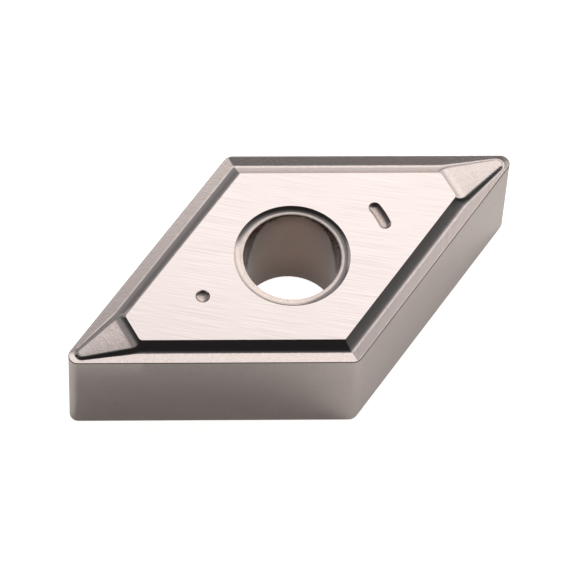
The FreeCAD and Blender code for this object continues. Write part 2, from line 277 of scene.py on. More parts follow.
def finishes() -> list[bpy.types.Material]:
    """Builds the materials of the insert.

    Returns:
        The materials, in the order of Surface.
    """
    former = CoatedCarbide("carbide, pressed and sintered, titanium-based coating", "#e6dad6",
                           "#dacdc9", 0.15, 0.19, 0.08, 0.0046, 0.3)
    # the honed edge strip is the same coating with a rougher finish of its own; its darker colour
    # is painted shade, standing in for the thin dark line that the rounded edge shows along the
    # cutting edge
    edge = CoatedCarbide("carbide edge, honed round and coated", "#8f827b", "#7a6e68", 0.26, 0.32,
                         0.06, 0.0003)
    flank = CoatedCarbide("carbide flank, ground and coated", "#e6dad3", "#dccfc9", 0.22, 0.28,
                          0.08, 0.0004)
    bore = CoatedCarbide("carbide bore, as sintered, thinly coated", "#7d6b62", "#736158", 0.09,
                         0.14, 0.08, 0.0003)
    mark = CoatedCarbide("carbide mark, pressed in and coated", "#e2d3cc", "#bfb0a9", 0.24, 0.34,
                         0.08, 0.0012)
    ring = CoatedCarbide("carbide ring of the bore, pressed, sintered and coated", "#ecdfd9",
                         "#dccec7", 0.18, 0.24, 0.09, 0.0006, 0.3)
    return [GroundPad().build(), former.build(), edge.build(), flank.build(), bore.build(),
            mark.build(), ring.build()]


# ---------------------------------------------------------------- contour lines


def bezier(points: list[Station], at: float) -> Station:
    """Point of a rational Bezier curve.

    Args:
        points: two or three control stations, each with its weight.
        at: how far along the curve, from 0 to 1.

    Returns:
        The station there, with its own weight.
    """
    rest = 1 - at
    shares = (rest, at) if len(points) == 2 else (rest * rest, 2 * rest * at, at * at)
    weight = sum(s * p[3] for s, p in zip(shares, points))
    t, q, z = (sum(s * p[3] * p[k] for s, p in zip(shares, points)) / weight for k in range(3))
    return t, q, z, weight


@dataclass(frozen=True)
class Strip:
    """A stretch of the chip former between contour lines that follow one another."""

    rows: list[Row]
    turn: float = 1.0

    def point(self, span: Span, along: float, across: float) -> Station:
        """Station of the strip.

        Args:
            span: the stretch of the contour.
            along: how far along the stretch, from 0 to 1.
            across: how far from the first row to the last, from 0 to 1.

        Returns:
            The station there.
        """
        weights = [1.0, self.turn, 1.0] if len(self.rows) == 3 else [1.0, 1.0]
        cross = [bezier(row[span], along) for row in self.rows]
        return bezier([p[:3] + (p[3] * w,) for p, w in zip(cross, weights)], across)


@dataclass(frozen=True)
class TaperLine:
    """A line that leaves a tip arc on the long diagonal and runs on straight."""

    tip: float
    radius: float
    far: tuple[float, float]

    @property
    def centre(self) -> float:
        """Centre of the tip arc, on the long diagonal."""
        return self.tip + self.radius

    @property
    def angle(self) -> float:
        """Angle of the straight part to the long diagonal."""
        reach = math.hypot(self.far[0] - self.centre, self.far[1])
        return math.atan2(self.far[1], self.far[0] - self.centre) - math.asin(self.radius / reach)

    def point(self, t: float, offset: float) -> tuple[float, float]:
        """Plan point at t on the line set outwards by an offset."""
        rise = (self.radius + offset) / math.cos(self.angle)
        return t, (t - self.centre) * math.tan(self.angle) + rise

    def arc(self, offset: float) -> tuple[tuple[float, float], tuple[float, float],
                                          tuple[float, float], float]:
        """Tip arc of the line set outwards by an offset.

        Args:
            offset: the distance from the line itself, in millimetres.

        Returns:
            The arc's tip, control and tangent points in plan, and the control's weight.
        """
        radius = self.radius + offset
        tip = self.centre - radius
        tangent = (self.centre - radius * math.sin(self.angle), radius * math.cos(self.angle))
        weight = math.cos((math.pi / 2 - self.angle) / 2)
        return (tip, 0.0), self.point(tip, offset), tangent, weight


@dataclass
class ChipFormer:
    """The pressed chip former of one face, in plan coordinates of one acute corner.

    t runs from the sharp corner along the long diagonal, q square to it towards the flank, and z
    up from the cutting edge. All sizes are in millimetres and degrees.
    """

    corner_angle: float = 55.0
    inscribed_circle: float = 12.70
    nose_radius: float = 0.50
    heel_radius: float = 0.55
    hone: float = 0.04
    rake_width: float = 0.66
    rake_angle: float = 6.0
    # the groove's rounding on the rake and on the wall
    groove_blend: float = 0.08
    wall_blend: float = 0.12
    pad_inset: float = 1.255
    pad_rise: float = 0.25
    wall_hollow: float = 0.062
    # where the hollow is deepest, as a share of the way from the groove to the pad
    hollow_place: float = 0.55
    nose_rake: float = 0.38
    nose_groove_radius: float = 0.366
    nose_blend: float = 0.05
    taper_reach: float = 4.02
    taper_blend: float = 0.34
    nose_wall: float = 0.11
    step_tip_radius: float = 0.265
    step_rear: float = 3.72
    step_half_width: float = 0.98
    step_tip_rise: float = 0.06
    step_rear_rise: float = 0.08
    step_rounding: float = 0.08
    ramp_foot: float = 0.38
    pad_nose: float = 4.29
    pad_corner_blend: float = 0.13
    divisions: tuple[int, ...] = (16, 24, 12, 16, 8)

    def __post_init__(self) -> None:
        """Works out the sizes that follow from the named ones."""
        self.half = math.radians(self.corner_angle / 2)
        self.edge_length = self.inscribed_circle / math.sin(2 * self.half)
        self.half_diagonal = self.edge_length * math.cos(self.half)
        self.heel_reach = self.edge_length * math.sin(self.half)
        self.fall = math.tan(math.radians(self.rake_angle))
        self.nose_tip = self.nose_radius / math.sin(self.half) - self.nose_radius
        self.groove_tip = self.nose_tip + self.nose_rake
        self.heel_tangent = self.heel_radius * math.tan(self.half)
        self.groove = TaperLine(self.groove_tip, self.nose_groove_radius,
                                self.on_edge(self.taper_reach, self.rake_width))
        self.step = TaperLine(self.groove_tip + self.nose_wall, self.step_tip_radius,
                              (self.step_rear, self.step_half_width))
        self.quarter = sum(self.divisions)

    def on_edge(self, s: float, w: float) -> tuple[float, float]:
        """Plan point s along the edge from the sharp corner and w inside it."""
        sine, cosine = math.sin(self.half), math.cos(self.half)
        return s * cosine + w * sine, s * sine - w * cosine

    def inside(self, t: float, q: float) -> float:
        """Distance of a plan point from the straight edge."""
        return t * math.sin(self.half) - q * math.cos(self.half)

    def along(self, t: float, q: float) -> float:
        """Distance of a plan point from the sharp corner, along the edge."""
        return t * math.cos(self.half) + q * math.sin(self.half)

    def rake_z(self, distance: float) -> float:
        """Height of the rake land at a distance inside the cutting edge."""
        return -self.fall * distance

    def step_z(self, t: float) -> float:
        """Height of the step's flat top.

        Args:
            t: a place on the long diagonal.

        Returns:
            The height there.
        """
        tip = self.groove_tip + self.nose_wall
        share = (t - tip) / (self.step_rear - tip)
        return self.step_tip_rise + share * (self.step_rear_rise - self.step_tip_rise)

    def line_spans(self, w: float, z: float, start: Station) -> Row:
        """Straight and heel spans of a line w inside the edge.

        Args:
            w: distance inside the edge.
            z: height of the line.
            start: the station where the line's bend ends.

        Returns:
            The two spans.
        """
        end = (self.half_diagonal - w * math.sin(self.half)) / math.cos(self.half)
        b = self.on_edge(end - self.heel_tangent, w) + (z, 1.0)
        mid = self.on_edge(end - self.heel_tangent / 2, w) + (z, math.cos(self.half / 2))
        return {Span.STRAIGHT: [start, b],
                Span.HEEL: [b, mid, self.on_edge(end, w) + (z, 1.0)]}

    def rim_row(self, inset: float, drop: float) -> Row:
        """The cutting edge, set inwards by an inset or let down by a drop.

        Args:
            inset: distance inside the cutting edge.
            drop: distance below it.

        Returns:
            The whole line.
        """
        sine, cosine = math.sin(self.half), math.cos(self.half)
        level = self.rake_z(inset) - drop
        tip_t = self.nose_tip + inset
        nose_end = self.on_edge(self.nose_radius / math.tan(self.half), inset) + (level, 1.0)
        control = (tip_t, (tip_t - inset / sine) * math.tan(self.half), level,
                   math.cos((math.pi / 2 - self.half) / 2))
        a, m, b, c = (self.on_edge(s, inset) + (level, 1.0) for s in (
            self.taper_reach - self.taper_blend, self.taper_reach,
            self.taper_reach + self.taper_blend, self.edge_length - self.heel_tangent))
        top = self.heel_reach - self.heel_radius / cosine + self.heel_radius - inset
        mid = ((top + inset / cosine) / math.tan(self.half), top, level, math.cos(self.half / 2))
        end = (self.half_diagonal, top)
        return {Span.NOSE: [(tip_t, 0.0, level, 1.0), control, nose_end],
                Span.TAPER: [nose_end, a], Span.BEND: [a, m, b], Span.STRAIGHT: [b, c],
                Span.HEEL: [c, mid, end + (self.rake_z(self.inside(*end)) - drop, 1.0)]}

    def groove_row(self, offset: float, nose_offset: float) -> Row:
        """The groove's bottom line, or the line on the rake land outside it.

        Args:
            offset: how far outside the groove, past the taper.
            nose_offset: the same at the nose.

        Returns:
            The whole line.
        """
        width = self.rake_width - offset
        tip, control, tangent, turn = self.groove.arc(nose_offset)
        tip_z = self.rake_z(tip[0] - self.nose_tip)
        tangent_z = self.rake_z(self.inside(*tangent))
        bend = self.groove.point(self.at_inset(width, offset), offset)
        at_bend = self.rake_width - self.taper_blend * math.tan(self.half - self.groove.angle)
        a = self.groove.point(self.on_edge(self.taper_reach - self.taper_blend, at_bend)[0], offset)
        a = a + (self.rake_z(self.inside(*a)), 1.0)
        z = self.rake_z(width)
        b = self.on_edge(self.along(*bend) + self.taper_blend, width) + (z, 1.0)
        nose_end = tangent + (tangent_z, 1.0)
        row = {Span.NOSE: [tip + (tip_z, 1.0), control + ((tip_z + tangent_z) / 2, turn), nose_end],
               Span.TAPER: [nose_end, a], Span.BEND: [a, bend + (z, 1.0), b]}
        return row | self.line_spans(width, z, b)

    def at_inset(self, w: float, offset: float) -> float:
        """Where the groove's offset line lies at a distance inside the straight edge.

        Args:
            w: distance inside the edge.
            offset: how far the line is set outwards.

        Returns:
            The place along the long diagonal.
        """
        slope = math.tan(self.groove.angle)
        t0, q0 = self.groove.point(self.groove.centre, offset)
        return ((w + (q0 - slope * t0) * math.cos(self.half))
                / (math.sin(self.half) - slope * math.cos(self.half)))

    def pad_corner(self) -> tuple[float, float]:
        """Plan point of the pad's corner, where its cut-off end meets its border."""
        return (self.pad_nose,
                (self.pad_nose * math.sin(self.half) - self.pad_inset) / math.cos(self.half))

    def step_row(self, offset: float) -> Row:
        """The step's border and the ridge from it up to the pad.

        Args:
            offset: how far the line is set inwards.

        Returns:
            The nose, taper and bend spans.
        """
        tip, control, tangent, turn = self.step.arc(-offset)
        rear = self.step.point(self.step_rear, -offset)
        foot = self.step.point(self.step_rear + self.ramp_foot, -offset)
        corner = self.pad_corner()
        if offset > 0:
            corner = (corner[0], corner[1] - self.pad_corner_blend)
        nose_end = tangent + (self.step_z(tangent[0]), 1.0)
        rear_end = rear + (self.step_z(rear[0]), 1.0)
        return {Span.NOSE: [tip + (self.step_z(tip[0]), 1.0),
                            control + (self.step_z(control[0]), turn), nose_end],
                Span.TAPER: [nose_end, rear_end],
                Span.BEND: [rear_end, foot + (self.step_z(foot[0]), 1.0),
                            corner + (self.pad_rise, 1.0)]}

    def blends(self, span: Span, full: float) -> list[float]:
        """Length of a rounding at each station of a span.

        Args:
            span: the stretch of the contour.
            full: the length past the taper; it is short at the nose.

        Returns:
            The lengths.
        """
        return {Span.NOSE: [self.nose_blend] * 3,
                Span.TAPER: [self.nose_blend, full]}.get(span, [full] * 3)

    def wall_rows(self) -> tuple[Row, Row, Row]:
        """Foot, control and head of the back wall.

        Returns:
            The three lines.
        """
        groove, top = self.groove_row(0.0, 0.0), self.step_row(0.0)
        start = self.along(*self.pad_corner()) + self.pad_corner_blend
        top |= self.line_spans(self.pad_inset, self.pad_rise,
                               self.on_edge(start, self.pad_inset) + (self.pad_rise, 1.0))
        foot: Row = {}
        control: Row = {}
        head: Row = {}
        for span in Span:
            ends = list(top[span])
            if span == Span.BEND:
                ends[2] = top[Span.STRAIGHT][0]
            full = self.wall_hollow
            hollow = {Span.BEND: [0.0, full / 2, full], Span.STRAIGHT: [full] * 2,
                      Span.HEEL: [full] * 3}.get(span, [0.0] * len(ends))
            control[span] = [self.between(g, p, self.hollow_place, h)
                             for g, p, h in zip(groove[span], ends, hollow)]
            foot[span] = [self.moved(g, c, b) for g, c, b in zip(
                groove[span], control[span], self.blends(span, self.wall_blend))]
            head[span] = ends
            if span < Span.STRAIGHT:
                head[span] = [self.moved(p, c, b) for p, c, b in zip(
                    ends, control[span], self.blends(span, self.step_rounding))]
            if span == Span.BEND:
                head[span][2] = ends[2]
        return foot, control, head

    @staticmethod
    def between(a: Station, b: Station, share: float, drop: float) -> Station:
        """A station between a and b, let down by a drop."""
        t, q, z = (p + share * (r - p) for p, r in zip(a[:3], b[:3]))
        return t, q, z - drop, a[3] + share * (b[3] - a[3])

    @staticmethod
    def moved(a: Station, b: Station, distance: float) -> Station:
        """Moves a station towards another one.

        Args:
            a: the station, which keeps its weight.
            b: the one that it moves towards.
            distance: how far it moves, in millimetres.

        Returns:
            The moved station.
        """
        way = Vector(b[:3]) - Vector(a[:3])
        t, q, z = Vector(a[:3]) + distance * way.normalized()
        return t, q, z, a[3]

    def strips(self) -> tuple[Strip, Strip, Strip, Strip, Strip]:
        """Works out the strips of the chip former.

        Returns:
            Hone, rake land, groove, back wall and the rounding of the step's border.
        """
        foot, control, head = self.wall_rows()
        land = self.rim_row(self.hone, 0.0)
        before = self.groove_row(self.groove_blend, self.nose_blend)
        hone_turn = math.cos(math.radians(90 - self.rake_angle) / 2)
        round_turn = math.cos((math.pi / 2 - self.half) / 2)
        return (Strip([self.rim_row(0.0, self.hone), self.rim_row(0.0, 0.0), land], hone_turn),
                Strip([land, before]), Strip([before, self.groove_row(0.0, 0.0), foot]),
                Strip([foot, control, head]),
                Strip([head, self.step_row(0.0), self.step_row(self.step_rounding)], round_turn))

    def station(self, strip: Strip, number: int, across: float) -> Vector:
        """Place of one vertex of a contour line.

        Args:
            strip: the strip that the contour line lies in.
            number: the vertex, counted round the insert from the left cutting corner.
            across: how far across the strip the line lies.

        Returns:
            The place in the plan of the long diagonal, with z from the cutting edge.
        """
        side, step = divmod(number % (4 * self.quarter), self.quarter)
        step = self.quarter - step if side % 2 else step
        span = Span.NOSE
        while step > self.divisions[span]:
            step -= self.divisions[span]
            span = Span(span + 1)
        t, q, z, _ = strip.point(span, step / self.divisions[span], across)
        x = t - self.half_diagonal
        return Vector((-x if side in (1, 2) else x, -q if side in (0, 1) else q, z))


# ---------------------------------------------------------------- the insert


@dataclass
class Workpiece:
    """The mesh that is being modelled, with the few things that an operator leaves to code."""

    piece: bpy.types.Object
    mesh: bmesh.types.BMesh = field(init=False)

    def __post_init__(self) -> None:
        """Takes hold of the mesh in edit mode."""
        self.mesh = bmesh.from_edit_mesh(self.piece.data)

    def shown(self) -> None:
        """Hands changes of the edit mesh back to the object."""
        bmesh.update_edit_mesh(self.piece.data)

    def pick(self, edges: Iterable[bmesh.types.BMEdge]) -> None:
        """Selects these edges and nothing else.

        Args:
            edges: the edges, of the current edit mesh.
        """
        chosen = list(edges)
        bpy.ops.mesh.select_all(action="DESELECT")
        for edge in chosen:
            edge.select_set(True)
        self.shown()

    def numbers(self) -> bmesh.types.BMLayerItem:
        """The layer that holds each vertex's number along its contour line."""
        layers = self.mesh.verts.layers.int
        return layers.get("station") or layers.new("station")

    def dress(self, surface: Surface, first: int) -> None:
        """Gives new faces their surface's material slot.

        Args:
            surface: the finish.
            first: the number of the first new face.
        """
        mesh = self.mesh
        mesh.faces.ensure_lookup_table()
        for face in mesh.faces[first:]:
            face.material_index = surface
        self.shown()

    def extrude(self, surface: Surface, place: Callable[[int], Vector] | None = None,
                radius: tuple[float, float] = (1.0, 1.0), rise: float = 0.0) -> None:
        """Extrudes the selected edges and brings the new ones to their place.

        Args:
            surface: the finish of the new faces.
            place: gives the place of each new vertex by its number, on a contour line.
            radius: the circle's radius before and after, on a turned form.
            rise: how far the new edges go up, on a turned form.
        """
        first = len(self.mesh.faces)
        bpy.ops.mesh.extrude_region_move(TRANSFORM_OT_translate={"value": (0.0, 0.0, rise)})
        if place is None:
            size = radius[1] / radius[0]
            bpy.ops.transform.resize(value=(size, size, 1.0), center_override=(0.0, 0.0, 0.0))
        else:
            layer = self.numbers()
            for vertex in (v for v in self.mesh.verts if v.select):
                vertex.co = place(vertex[layer])
            self.shown()
        self.dress(surface, first)


@dataclass
class ClampBore:
    """The through bore with its rounded lips and the hollow ring round each mouth."""

    diameter: float = 5.16
    ring_diameter: float = 6.14
    ring_depth: float = 0.13
    ring_floor: float = 0.11
    lip_radius: float = 0.02
    vertices: int = 128
    ring_steps: int = 12
    lip_steps: int = 6
    # heights of the circles down the bore's wall, as shares of the whole
    wall_levels: tuple[float, ...] = (0.8, 0.5)

    def profile(self, height: float) -> list[tuple[float, float, Surface]]:
        """The turned profile from the pad down to half height.

        Args:
            height: height of the pad's plane.

        Returns:
            Radius, height and finish of each circle.
        """
        bore, ring = self.diameter / 2, self.ring_diameter / 2
        lip, low = bore + self.lip_radius, height - self.ring_depth
        floor = lip + self.ring_floor
        width = ring - floor
        hollow = (width ** 2 + self.ring_depth ** 2) / (2 * self.ring_depth)
        full = math.asin(width / hollow)
        circles = []
        for step in range(self.ring_steps - 1, -1, -1):
            turn = full * step / self.ring_steps
            circles.append((floor + hollow * math.sin(turn),
                            low + hollow * (1 - math.cos(turn)), Surface.RING))
        circles.append((lip, low, Surface.RING))
        for step in range(1, self.lip_steps + 1):
            turn = math.pi / 2 * step / self.lip_steps
            circles.append((lip - self.lip_radius * math.sin(turn),
                            low - self.lip_radius * (1 - math.cos(turn)), Surface.RING))
        return circles + [(bore, height * share, Surface.BORE) for share in self.wall_levels]

    def cut(self, work: Workpiece, height: float) -> None:
        """Models the upper half of the bore, from a circle on the pad.

        Args:
            work: the insert, in edit mode.
            height: height of the pad's plane.
        """
        radius, level = self.ring_diameter / 2, height
        bpy.ops.mesh.primitive_circle_add(vertices=self.vertices, radius=radius,
                                          location=(0.0, 0.0, height))
        for after, z, surface in self.profile(height):
            work.extrude(surface, radius=(radius, after), rise=z - level)
            radius, level = after, z


@dataclass
class IndexMarks:
    """The two marks pressed into each pad on the long diagonal, a dot and a slot."""

    depth: float = 0.13
    dot_diameter: float = 0.76
    dot_radius: float = 5.33
    slot_width: float = 0.67
    slot_radius: float = 5.31
    slot_span: float = 11.9
    # width and fall of each ring of the sunk wall, from the pad to the mark's floor
    dot_rings: tuple[tuple[float, float], ...] = ((0.035, -0.042), (0.035, -0.030), (0.04, -0.018),
                                                  (0.05, -0.014), (0.06, -0.011), (0.07, -0.007))
    slot_rings: tuple[tuple[float, float], ...] = ((0.045, -0.034), (0.045, -0.031),
                                                   (0.045, -0.026), (0.045, -0.019),
                                                   (0.04, -0.012), (0.03, -0.005))
    dot_vertices: int = 48
    slot_vertices: int = 30
    side_cuts: int = 10
    # how far the middle of a slot's side lies inside its arc before it is bent
    side_sag: float = 0.02
    # a radius between the bore's ring and the marks
    marks_start: float = 4.0

    def sink(self, work: Workpiece, rings: tuple[tuple[float, float], ...]) -> None:
        """Fills the selected outline and insets it downwards, ring by ring.

        Args:
            work: the insert, in edit mode.
            rings: width and fall of each ring.
        """
        first = len(work.mesh.faces)
        bpy.ops.mesh.edge_face_add()
        work.mesh.faces.ensure_lookup_table()
        face = work.mesh.faces[first]
        face.normal_update()
        if face.normal.z < 0:
            face.normal_flip()
        work.shown()
        for width, fall in rings:
            bpy.ops.mesh.inset(thickness=width, depth=fall, use_even_offset=True)
        work.dress(Surface.MARK, first)

    def outline_slot(self, work: Workpiece, height: float) -> None:
        """Adds the slot's outline: a circle pulled apart along an arc round the bore.

        Args:
            work: the insert, in edit mode.
            height: height of the pad's plane.
        """
        bpy.ops.mesh.primitive_circle_add(vertices=self.slot_vertices, radius=self.slot_width / 2,
                                          location=(self.slot_radius, 0.0, height))
        outline = [v for v in work.mesh.verts if v.select]
        for vertex in outline:
            turn = math.copysign(math.radians(self.slot_span / 2), vertex.co.y)
            vertex.co.xy = Matrix.Rotation(turn, 2) @ vertex.co.xy
        edges = {e for v in outline for e in v.link_edges if e.calc_length() > self.slot_width}
        reach = [e.verts[0].co.xy.length for e in edges]
        work.pick(edges)
        bpy.ops.mesh.subdivide(number_cuts=self.side_cuts)
        for vertex in (v for v in work.mesh.verts if v.select):
            nearest = min(reach, key=lambda r: abs(r - vertex.co.xy.length - self.side_sag))
            vertex.co.xy *= nearest / vertex.co.xy.length
        work.shown()

    def cut(self, work: Workpiece, height: float) -> None:
        """Models both marks of the upper pad.

        Args:
            work: the insert, in edit mode.
            height: height of the pad's plane.
        """
        bpy.ops.mesh.primitive_circle_add(vertices=self.dot_vertices, radius=self.dot_diameter / 2,
                                          location=(-self.dot_radius, 0.0, height))
        self.sink(work, self.dot_rings)
        self.outline_slot(work, height)
        work.pick(e for e in work.mesh.edges if not e.link_faces
                  and e.verts[0].co.x > 0 and e.verts[0].co.xy.length > self.marks_start)
        self.sink(work, self.slot_rings)


@dataclass
class Insert:
    """The whole insert: two chip-former faces, flanks, bore and marks."""

    thickness: float = 6.35
    former: ChipFormer = field(default_factory=ChipFormer)
    bore: ClampBore = field(default_factory=ClampBore)
    marks: IndexMarks = field(default_factory=IndexMarks)
    # contour lines drawn in each strip of the chip former
    hone_lines: int = 6
    rake_lines: int = 8
    groove_lines: int = 5
    wall_lines: int = 8
    round_lines: int = 5
    flank_cuts: int = 3
    smooth_angle: float = 24.0
    # places closer than this, in millimetres, are the same
    weld: float = 1e-4

    @property
    def height(self) -> float:
        """Height over both pads."""
        return self.thickness + self.former.pad_rise

    def lift(self, strip: Strip, across: float) -> Callable[[int], Vector]:
        """Gives the function that places the vertices of one contour line.

        Args:
            strip: the strip that the line lies in.
            across: how far across it the line lies.

        Returns:
            A function from a vertex's number to its place.
        """
        up = Vector((0.0, 0.0, self.thickness))
        return lambda number: self.former.station(strip, number, across) + up

    def start(self) -> Workpiece:
        """Adds the circle that becomes the outline of the insert under its cutting edge.

        Returns:
            The insert, in edit mode, its outline selected.
        """
        count = 4 * self.former.quarter
        bpy.ops.object.select_all(action="DESELECT")
        bpy.ops.mesh.primitive_circle_add(vertices=count, radius=self.former.heel_reach,
                                          location=(0.0, 0.0, 0.0))
        piece = bpy.context.object
        piece.name = piece.data.name = "insert_body"
        bpy.ops.object.mode_set(mode="EDIT")
        bpy.ops.mesh.select_mode(type="EDGE")
        work = Workpiece(piece)
        layer = work.numbers()
        place = self.lift(self.former.strips()[0], 0.0)
        mesh = work.mesh
        mesh.verts.ensure_lookup_table()
        for vertex in mesh.verts:
            vertex[layer] = vertex.index
            vertex.co = place(vertex.index)
        for edge in mesh.edges:
            edge.select_set(True)
        work.shown()
        return work

    def sweep_former(self, work: Workpiece) -> None:
        """Extrudes the outline inwards over the cutting edge, rake, groove and back wall.

        Args:
            work: the insert, in edit mode.
        """
        hone, rake, groove, wall, rounding = self.former.strips()
        for strip, lines, surface in ((hone, self.hone_lines, Surface.EDGE),
                                      (rake, self.rake_lines, Surface.FORMER),
                                      (groove, self.groove_lines, Surface.FORMER),
                                      (wall, self.wall_lines, Surface.FORMER)):
            for line in range(1, lines + 1):
                work.extrude(surface, self.lift(strip, line / lines))
        reach = sum(self.former.divisions[:3])
        layer = work.numbers()
        work.pick([e for e in work.mesh.edges if e.select
                   and all(self.corner_step(v[layer]) <= reach for v in e.verts)])
        for line in range(1, self.round_lines + 1):
            work.extrude(Surface.FORMER, self.lift(rounding, line / self.round_lines))

    def corner_step(self, number: int) -> int:
        """How many vertices a vertex lies from the nearest acute corner's tip."""
        step = number % (2 * self.former.quarter)
        return min(step, 2 * self.former.quarter - step)

    def cap_steps(self, work: Workpiece) -> None:
        """Bridges the two sides of each step and ramp, and closes the step's tip.

        Args:
            work: the insert, in edit mode.
        """
        layer = work.numbers()
        first = len(work.mesh.faces)
        ridge = [e for e in work.mesh.edges if e.select]
        at_tip = [e for e in ridge if any(self.corner_step(v[layer]) == 0 for v in e.verts)]
        sides = [e for e in ridge if e not in at_tip]
        for edges, close in ((sides, bpy.ops.mesh.bridge_edge_loops),
                             (at_tip, bpy.ops.mesh.edge_face_add)):
            for right in (False, True):
                work.pick(e for e in edges if (e.verts[0].co.x > 0) == right)
                close()
        work.dress(Surface.FORMER, first)

    def fill_pad(self, work: Workpiece) -> None:
        """Fills the flat pad between its border, the ring of the bore and the marks.

        Args:
            work: the insert, in edit mode.
        """
        first = len(work.mesh.faces)
        work.pick(e for e in work.mesh.edges if len(e.link_faces) < 2
                  and all(abs(v.co.z - self.height) < self.weld for v in e.verts))
        bpy.ops.mesh.mark_sharp()
        bpy.ops.mesh.fill(use_beauty=True)
        work.dress(Surface.PAD, first)

    def turn_over(self, work: Workpiece) -> None:
        """Copies the finished face, turns the copy half round the long diagonal and joins both.

        Args:
            work: the insert, in edit mode.
        """
        bpy.ops.mesh.select_all(action="SELECT")
        bpy.ops.mesh.duplicate()
        bpy.ops.transform.rotate(value=math.pi, orient_axis="X",
                                 center_override=(0.0, 0.0, self.height / 2))
        bpy.ops.mesh.select_all(action="SELECT")
        bpy.ops.mesh.remove_doubles(threshold=self.weld)
        first = len(work.mesh.faces)
        work.pick(e for e in work.mesh.edges if len(e.link_faces) == 1)
        bpy.ops.mesh.bridge_edge_loops(number_cuts=self.flank_cuts)
        work.dress(Surface.FLANK, first)

    def finish(self, work: Workpiece) -> None:
        """Turns the insert onto the CAD's axes, brings it to metres and smooths it.

        Args:
            work: the insert, in edit mode.
        """
        bpy.ops.mesh.select_all(action="SELECT")
        bpy.ops.mesh.normals_make_consistent(inside=False)
        # with no window the operator turns the other way
        bpy.ops.transform.rotate(value=-self.former.half, orient_axis="Z",
                                 center_override=(0.0, 0.0, 0.0))
        bpy.ops.transform.resize(value=(MILLIMETRE,) * 3, center_override=(0.0, 0.0, 0.0))
        layers = work.mesh.verts.layers.int
        layers.remove(layers["station"])
        work.shown()
        bpy.ops.object.mode_set(mode="OBJECT")
        bpy.ops.object.shade_smooth_by_angle(angle=math.radians(self.smooth_angle))
        bpy.ops.object.modifier_add(type="WEIGHTED_NORMAL")
        work.piece.modifiers[-1].keep_sharp = True
        bpy.ops.object.modifier_apply(modifier=work.piece.modifiers[-1].name)

    def build(self) -> bpy.types.Object:
        """Models the insert.

        Returns:
            The piece that stands for the CAD node.
        """
        work = self.start()
        for material in finishes():
            work.piece.data.materials.append(material)
        self.sweep_former(work)
        self.cap_steps(work)
        self.bore.cut(work, self.height)
        self.marks.cut(work, self.height)
        self.fill_pad(work)
        self.turn_over(work)
        self.finish(work)
        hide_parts(NODE)
        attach(work.piece, BODY)
        mesh = work.piece.data
        log.info("%s: %d vertices, %d faces", work.piece.name, len(mesh.vertices),
                 len(mesh.polygons))
        return work.piece


# ---------------------------------------------------------------- studio


@dataclass(frozen=True)
class SoftBox:
    """A square lamp behind cloth, named by where it hangs as seen from the insert."""

    name: str
    azimuth: float
    elevation: float
    width: float
    height: float
    level: float
    colour: str = "#ffffff"
    distance: float = 0.8
    mirrored: bool = True

    def hang(self) -> None:
        """Adds the lamp; its sizes are angles in degrees, and a level of 1 looks white."""
        a, e = math.radians(self.azimuth), math.radians(self.elevation)
        away = Vector((math.sin(a) * math.cos(e), math.cos(a) * math.cos(e), math.sin(e)))
        bpy.ops.object.light_add(type="AREA", location=away * self.distance)
        lamp = bpy.context.object
        lamp.name = lamp.data.name = self.name
        lamp.rotation_euler = away.to_track_quat("Z", "Y").to_euler()
        lamp.data.shape = "RECTANGLE"
        lamp.data.size = 2 * self.distance * math.tan(math.radians(self.width / 2))
        lamp.data.size_y = 2 * self.distance * math.tan(math.radians(self.height / 2))
        lamp.data.color = linear(self.colour)[:3]
        lamp.data.energy = self.level * math.pi * lamp.data.size * lamp.data.size_y
        lamp.visible_glossy = self.mirrored
        log.info("%s: %.2f by %.2f m, %.2f W", self.name, lamp.data.size, lamp.data.size_y,
                 lamp.data.energy)


@dataclass(frozen=True)
class Fade:
    """A level that changes with one part of the direction in which a ray leaves."""

    span: tuple[float, float]
    levels: tuple[float, float] = (0.0, 1.0)
    ease: Ease = Ease.SMOOTH

    def add(self, tree: bpy.types.NodeTree, part: bpy.types.NodeSocket) -> bpy.types.NodeSocket:
        """Adds the fade to the room's nodes.

        Args:
            tree: the node tree of the room.
            part: the socket that gives that part of the direction.

        Returns:
            The socket that gives the level.
        """
        fade = add_node(tree, "MapRange", {"[From Min]": self.span[0], "[From Max]": self.span[1],
                                           "[To Min]": self.levels[0], "[To Max]": self.levels[1],
                                           "interpolation_type": self.ease.value},
                        {"Value": part})
        return fade.outputs[0]


def product(tree: bpy.types.NodeTree, *factors: bpy.types.NodeSocket) -> bpy.types.NodeSocket:
    """Multiplies values in a node tree.

    Args:
        tree: the node tree.
        factors: the sockets that give the values.

    Returns:
        The socket that gives their product.
    """
    total = factors[0]
    for factor in factors[1:]:
        total = add_node(tree, "Math", {"operation": "MULTIPLY"}, {0: total, 1: factor}).outputs[0]
    return total


